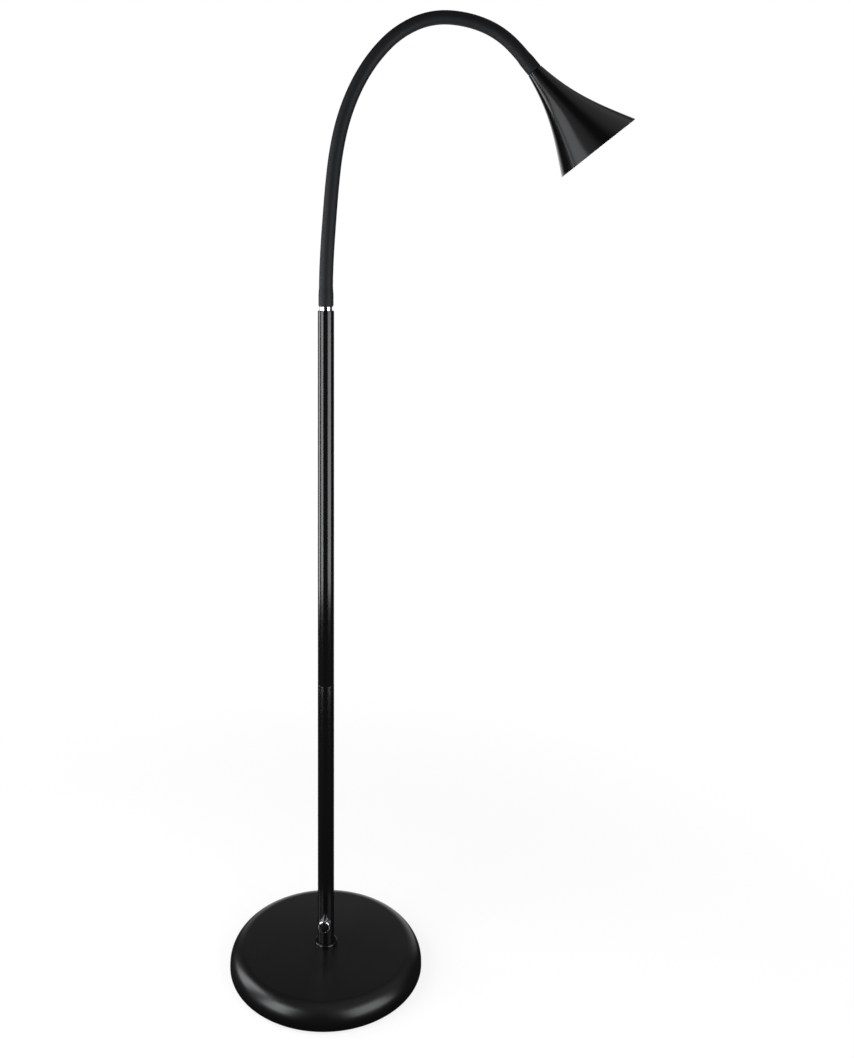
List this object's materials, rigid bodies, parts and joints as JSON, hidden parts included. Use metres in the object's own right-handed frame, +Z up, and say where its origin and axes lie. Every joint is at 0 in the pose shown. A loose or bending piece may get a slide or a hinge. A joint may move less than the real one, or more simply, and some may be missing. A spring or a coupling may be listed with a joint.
{
  "type": "floor lamp",
  "caption": "Reading floor lamp with a weighted round base, a slim straight pole, a bendable arched gooseneck, a small trumpet shade and a push switch at the pole's foot.",
  "frame": {"origin": "centre of the base's underside, where the foam pad meets the floor", "axes": "+Z up along the pole; +X the way the neck bends; the switch faces -Y"},
  "size_m": [0.5296, 0.2562, 1.2682],
  "materials": {
    "satin_black_paint": "satin",
    "black_rubber": "matte",
    "chrome_plate": "polished",
    "grey_iron": "as cast",
    "zinc_steel": "zinc plated",
    "plated_brass": "turned",
    "bare_aluminium": "turned",
    "black_plastic": "moulded",
    "white_plastic": "moulded",
    "lens_plastic": "frosted",
    "led_yellow": "cast",
    "black_foam": "foam"
  },
  "bodies": {
    "stand": {"base_cover": "satin_black_paint", "base_weight": "grey_iron", "base_plate": "zinc_steel", "base_pad": "black_foam", "base_nipple": "zinc_steel", "base_nut": "zinc_steel", "cord_gland": "black_rubber", "foot_collar": "satin_black_paint", "lower_tube": "satin_black_paint", "upper_tube": "satin_black_paint", "switch_bezel": "chrome_plate", "switch_body": "black_plastic", "switch_spring": "zinc_steel", "switch_terminals": "plated_brass", "supply_lead": "black_rubber", "pole_lead": "black_rubber", "neck_ring": "chrome_plate", "lower_ferrule": "zinc_steel", "neck_sleeve": "black_rubber", "neck_lead": "black_rubber", "neck_core_0": "zinc_steel"},
    "link_1": {"neck_core_1": "zinc_steel"},
    "link_2": {"neck_core_2": "zinc_steel"},
    "link_3": {"neck_core_3": "zinc_steel"},
    "link_4": {"neck_core_4": "zinc_steel"},
    "link_5": {"neck_core_5": "zinc_steel"},
    "link_6": {"neck_core_6": "zinc_steel"},
    "link_7": {"neck_core_7": "zinc_steel"},
    "link_8": {"neck_core_8": "zinc_steel"},
    "link_9": {"neck_core_9": "zinc_steel"},
    "link_10": {"neck_core_10": "zinc_steel"},
    "link_11": {"neck_core_11": "zinc_steel"},
    "head": {"neck_core_12": "zinc_steel", "upper_ferrule": "zinc_steel", "shade": "satin_black_paint", "heat_sink": "bare_aluminium", "led_board": "white_plastic", "led_emitter": "led_yellow", "lamp_cup": "white_plastic", "lens": "lens_plastic", "lens_ring": "white_plastic"},
    "button": {"switch_button": "black_plastic"}
  },
  "joints": [
    {"name": "lower_bend_1", "type": "hinge", "parent": "stand", "child": "link_1", "pos_m": [0.00038, 0, 0.9226], "axis": [0, 1, 0], "range_deg": [-12, 8], "deforming": ["neck_sleeve", "neck_lead"]},
    {"name": "side_lean_1", "type": "hinge", "parent": "link_1", "child": "link_2", "pos_m": [0.00279, 0, 0.96853], "axis": [0.9976, 0, -0.0698], "range_deg": [-12, 12], "deforming": ["neck_sleeve", "neck_lead"]},
    {"name": "lower_bend_2", "type": "hinge", "parent": "link_2", "child": "link_3", "pos_m": [0.0062, 0, 1.0144], "axis": [0, 1, 0], "range_deg": [-12, 8], "deforming": ["neck_sleeve", "neck_lead"]},
    {"name": "side_lean_2", "type": "hinge", "parent": "link_3", "child": "link_4", "pos_m": [0.01061, 0, 1.06019], "axis": [0.9936, 0, -0.1132], "range_deg": [-12, 12], "deforming": ["neck_sleeve", "neck_lead"]},
    {"name": "middle_bend_1", "type": "hinge", "parent": "link_4", "child": "link_5", "pos_m": [0.0182, 0, 1.10554], "axis": [0, 1, 0], "range_deg": [-12, 10], "deforming": ["neck_sleeve", "neck_lead"]},
    {"name": "middle_bend_2", "type": "hinge", "parent": "link_5", "child": "link_6", "pos_m": [0.03163, 0, 1.14948], "axis": [0, 1, 0], "range_deg": [-12, 10], "deforming": ["neck_sleeve", "neck_lead"]},
    {"name": "middle_bend_3", "type": "hinge", "parent": "link_6", "child": "link_7", "pos_m": [0.05231, 0, 1.1905], "axis": [0, 1, 0], "range_deg": [-12, 10], "deforming": ["neck_sleeve", "neck_lead"]},
    {"name": "middle_bend_4", "type": "hinge", "parent": "link_7", "child": "link_8", "pos_m": [0.08103, 0, 1.22629], "axis": [0, 1, 0], "range_deg": [-12, 10], "deforming": ["neck_sleeve", "neck_lead"]},
    {"name": "upper_bend_1", "type": "hinge", "parent": "link_8", "child": "link_9", "pos_m": [0.11916, 0, 1.25153], "axis": [0, 1, 0], "range_deg": [-22, 8], "deforming": ["neck_sleeve", "neck_lead"]},
    {"name": "upper_bend_2", "type": "hinge", "parent": "link_9", "child": "link_10", "pos_m": [0.16419, 0, 1.25846], "axis": [0, 1, 0], "range_deg": [-22, 8], "deforming": ["neck_sleeve", "neck_lead"]},
    {"name": "upper_bend_3", "type": "hinge", "parent": "link_10", "child": "link_11", "pos_m": [0.20858, 0, 1.24718], "axis": [0, 1, 0], "range_deg": [-22, 8], "deforming": ["neck_sleeve", "neck_lead"]},
    {"name": "head_turn", "type": "hinge", "parent": "link_11", "child": "head", "pos_m": [0.24601, 0, 1.22098], "axis": [-0.7254, 0, -0.6884], "range_deg": [-25, 25], "deforming": ["neck_sleeve", "neck_lead"]},
    {"name": "switch_press", "type": "slide", "parent": "stand", "child": "button", "axis": [0, 1, 0], "range_m": [0, 0.0025], "stiffness_N_per_m": 600, "deforming": ["switch_spring"]}
  ],
  "couplings": [
    {"joint": "lower_bend_2", "follows": "lower_bend_1", "ratio": 1},
    {"joint": "side_lean_2", "follows": "side_lean_1", "ratio": 1},
    {"joint": "middle_bend_2", "follows": "middle_bend_1", "ratio": 1},
    {"joint": "middle_bend_3", "follows": "middle_bend_1", "ratio": 1},
    {"joint": "middle_bend_4", "follows": "middle_bend_1", "ratio": 1},
    {"joint": "upper_bend_2", "follows": "upper_bend_1", "ratio": 1},
    {"joint": "upper_bend_3", "follows": "upper_bend_1", "ratio": 1}
  ]
}
